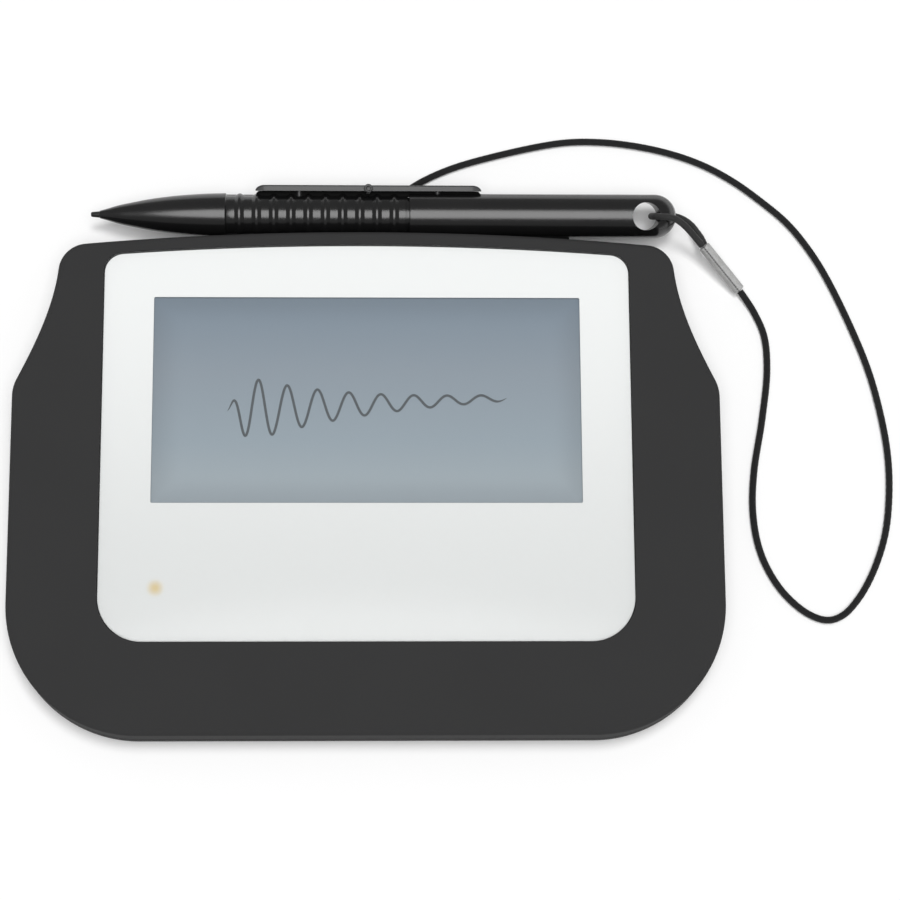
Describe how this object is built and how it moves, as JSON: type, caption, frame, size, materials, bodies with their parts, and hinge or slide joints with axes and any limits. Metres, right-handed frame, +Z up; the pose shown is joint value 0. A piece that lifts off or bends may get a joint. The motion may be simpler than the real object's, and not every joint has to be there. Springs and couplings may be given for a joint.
{
  "type": "signature pad",
  "caption": "Flat counter pad with a backlit display under a white panel, on a dark housing, and a pen on a tether that lies in a cradle behind it.",
  "frame": {"origin": "on the table, under the middle of the pad and its pen, measured without the tether", "axes": "+X to the user's right along the pen, from its tip to its tail; +Y to the rear, away from the user; +Z up"},
  "size_m": [0.197, 0.1397, 0.0141],
  "materials": {
    "housing": "fine matte texture, dark grey",
    "clear_panel": "clear, lightly matte hard coat",
    "white_print": "white print on film",
    "display": "grey-blue reflective display glass",
    "white_plastic": "white moulded plastic",
    "clear_plastic": "clear moulded plastic",
    "foam": "black foam tape",
    "circuit_board": "green solder resist",
    "chip": "black moulded package",
    "steel": "bare steel",
    "copper": "wound copper wire",
    "ferrite": "dark grey sintered ferrite",
    "film_cable": "amber film",
    "foot_rubber": "black rubber",
    "pen_plastic": "satin black plastic",
    "rocker_plastic": "satin dark grey plastic",
    "nib_plastic": "black hard plastic",
    "cord": "black braided cord",
    "sleeve": "pale grey crimp sleeve",
    "lamp": "warm white lamp"
  },
  "bodies": {
    "pad": {"upper_housing": "housing", "lower_housing": "housing", "front_panel": "clear_panel", "white_print_film": "white_print", "panel_adhesive": "foam", "display_gasket": "foam", "display_cell": "display", "light_diffuser": "white_plastic", "light_guide": "clear_plastic", "reflector_sheet": "white_plastic", "backlight_strip": "white_plastic", "display_frame": "white_plastic", "digitizer_board": "circuit_board", "shield_plate": "steel", "main_board": "circuit_board", "processor_chip": "chip", "memory_chip": "chip", "bridge_chip": "chip", "crystal": "steel", "power_coil": "ferrite", "shield_can": "steel", "display_connector": "white_plastic", "sensor_connector": "white_plastic", "display_flex": "film_cable", "sensor_flex": "film_cable", "cable_socket": "steel", "status_lamp": "lamp", "light_pipe": "clear_plastic", "case_screw_rear_left": "steel", "case_screw_middle_left": "steel", "case_screw_front_left": "steel", "case_screw_rear_right": "steel", "case_screw_middle_right": "steel", "case_screw_front_right": "steel", "board_screw_front_left": "steel", "board_screw_rear_left": "steel", "board_screw_front_right": "steel", "board_screw_rear_right": "steel", "foot_front_left": "foot_rubber", "foot_rear_left": "foot_rubber", "foot_front_right": "foot_rubber", "foot_rear_right": "foot_rubber", "tether_knot": "cord", "tether_cord": "cord"},
    "pen": {"pen_front_barrel": "pen_plastic", "pen_rear_barrel": "pen_plastic", "ferrite_core": "ferrite", "pen_coil": "copper", "pressure_sensor": "chip", "pen_board": "circuit_board", "side_switch_front": "chip", "side_switch_rear": "chip", "rocker_pin": "steel", "tether_sleeve": "sleeve", "tether_loop": "cord"},
    "nib": {"nib": "nib_plastic"},
    "rocker": {"rocker": "rocker_plastic"}
  },
  "joints": [
    {"name": "pen_lift", "type": "slide", "parent": "pad", "child": "pen", "axis": [0, 0, 1], "range_m": [0, 0.025]},
    {"name": "nib_press", "type": "slide", "parent": "pen", "child": "nib", "axis": [1, 0, 0], "range_m": [0, 0.0006], "stiffness_N_per_m": 800, "springref_m": -0.0003},
    {"name": "rocker_tilt", "type": "hinge", "parent": "pen", "child": "rocker", "pos_m": [0.00025, 0.06064, 0.00878], "axis": [0, -0.309, 0.9511], "range_deg": [-1, 1], "stiffness_Nm_per_rad": 0.5}
  ]
}
